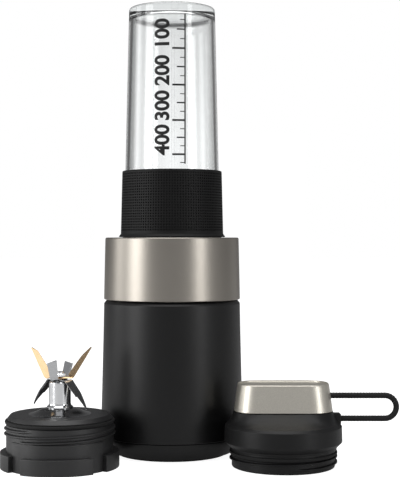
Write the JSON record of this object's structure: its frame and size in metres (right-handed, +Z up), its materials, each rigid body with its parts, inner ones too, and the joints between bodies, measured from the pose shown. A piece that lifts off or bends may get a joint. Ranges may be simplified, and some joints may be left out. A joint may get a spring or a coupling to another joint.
{
  "type": "countertop blender",
  "caption": "Personal countertop blender with its bottle upside down in the motor base, a loose blade unit and a travel lid with a carry loop.",
  "frame": {"origin": "bottom centre of the motor base, on the table", "axes": "+Z up along the base and bottle axis, -Y towards the front, +X to the right where the travel lid stands"},
  "size_m": [0.3057, 0.166, 0.3614],
  "materials": {
    "body_black": "satin moulded black plastic",
    "collar_metal": "satin champagne-nickel metal",
    "black_rubber": "matt black rubber",
    "grip_silicone": "dimpled black silicone",
    "clear_plastic": "clear glossy copolyester",
    "cup_black": "satin black glass-filled plastic",
    "polished_steel": "polished stainless steel",
    "blade_steel": "ground stainless steel",
    "gold_steel": "gold-coated stainless steel",
    "bronze": "oiled sintered bronze",
    "copper": "enamelled copper",
    "lamination": "stacked electrical steel",
    "zinc_steel": "zinc-plated steel",
    "cast_alloy": "die-cast aluminium",
    "carbon": "pressed carbon",
    "board_green": "glass-fibre board with parts",
    "switch_black": "moulded phenolic",
    "lid_black": "satin moulded black plastic",
    "cap_silver": "fine metallic silver",
    "loop_cord": "black braided cord over a spring core"
  },
  "bodies": {
    "motor_base": {"base_shell": "body_black", "metal_collar": "collar_metal", "bottom_cover": "body_black", "foot_ring": "black_rubber", "bottom_screws": "zinc_steel", "cord_inlet": "black_rubber", "bottle_socket": "body_black", "drive_seal": "black_rubber", "lower_bracket": "cast_alloy", "upper_bracket": "cast_alloy", "bracket_posts": "zinc_steel", "motor_dampers": "black_rubber", "stator_core": "lamination", "field_coils": "copper", "lower_bearing": "polished_steel", "upper_bearing": "polished_steel", "brush_holders": "bronze", "carbon_brushes": "carbon", "interlock_switch": "switch_black", "control_board": "board_green", "plunger_spring": "zinc_steel"},
    "motor_rotor": {"rotor_shaft": "zinc_steel", "rotor_core": "lamination", "rotor_windings": "copper", "commutator": "copper", "cooling_fan": "switch_black", "drive_coupler": "cast_alloy"},
    "turn_ring": {"lock_ring": "body_black"},
    "interlock_pin": {"interlock_plunger": "zinc_steel"},
    "blade_unit": {"blade_cup": "cup_black", "cup_gasket": "black_rubber", "hub_post": "polished_steel", "shaft_bush": "bronze", "shaft_seal": "black_rubber"},
    "blade_rotor": {"blade_shaft": "zinc_steel", "blades_top": "gold_steel", "blades_middle": "blade_steel", "blades_lower": "blade_steel", "blade_nut": "polished_steel", "blade_coupler": "switch_black"},
    "bottle": {"bottle": "clear_plastic", "grip_sleeve": "grip_silicone"},
    "spare_blade_unit": {"spare_blade_cup": "cup_black", "spare_cup_gasket": "black_rubber", "spare_hub_post": "polished_steel", "spare_shaft_bush": "bronze", "spare_shaft_seal": "black_rubber"},
    "spare_blade_rotor": {"spare_blade_shaft": "zinc_steel", "spare_blades_top": "gold_steel", "spare_blades_middle": "blade_steel", "spare_blades_lower": "blade_steel", "spare_blade_nut": "polished_steel", "spare_blade_coupler": "switch_black"},
    "travel_lid": {"lid_collar": "lid_black", "lid_gasket": "black_rubber", "drink_spout": "lid_black", "carry_loop": "loop_cord"},
    "cap": {"drink_cap": "cap_silver", "cap_stopper": "black_rubber"}
  },
  "joints": [
    {"name": "motor_spin", "type": "hinge", "parent": "motor_base", "child": "motor_rotor", "pos_m": [0, 0, 0.06], "axis": [0, 0, 1], "continuous": true},
    {"name": "bottle_lock", "type": "hinge", "parent": "motor_base", "child": "turn_ring", "pos_m": [0, 0, 0.128], "axis": [0, 0, 1], "range_deg": [-28, 0]},
    {"name": "interlock_press", "type": "slide", "parent": "motor_base", "child": "interlock_pin", "axis": [0, 0, 1], "range_m": [-0.003, 0], "deforming": ["plunger_spring"]},
    {"name": "bottle_lift", "type": "slide", "parent": "turn_ring", "child": "blade_unit", "axis": [0, 0, 1], "range_m": [0, 0.08]},
    {"name": "bottle_unscrew", "type": "slide", "parent": "blade_unit", "child": "bottle", "axis": [0, 0, 1], "range_m": [0, 0.08]},
    {"name": "blade_spin", "type": "hinge", "parent": "blade_unit", "child": "blade_rotor", "pos_m": [0, 0, 0.18], "axis": [0, 0, 1], "continuous": true},
    {"name": "spare_lift", "type": "slide", "parent": "motor_base", "child": "spare_blade_unit", "axis": [0, 0, 1], "range_m": [0, 0.08]},
    {"name": "spare_spin", "type": "hinge", "parent": "spare_blade_unit", "child": "spare_blade_rotor", "pos_m": [-0.0845, -0.06028, 0.05], "axis": [0, 0, 1], "continuous": true},
    {"name": "lid_lift", "type": "slide", "parent": "motor_base", "child": "travel_lid", "axis": [0, 0, 1], "range_m": [0, 0.08]},
    {"name": "cap_pull", "type": "slide", "parent": "travel_lid", "child": "cap", "axis": [0, 0, 1], "range_m": [0, 0.014], "deforming": ["carry_loop"]}
  ],
  "couplings": [
    {"joint": "blade_spin", "follows": "motor_spin", "ratio": 1},
    {"joint": "interlock_press", "follows": "bottle_lock", "m_per_rad": 0.0061388}
  ]
}
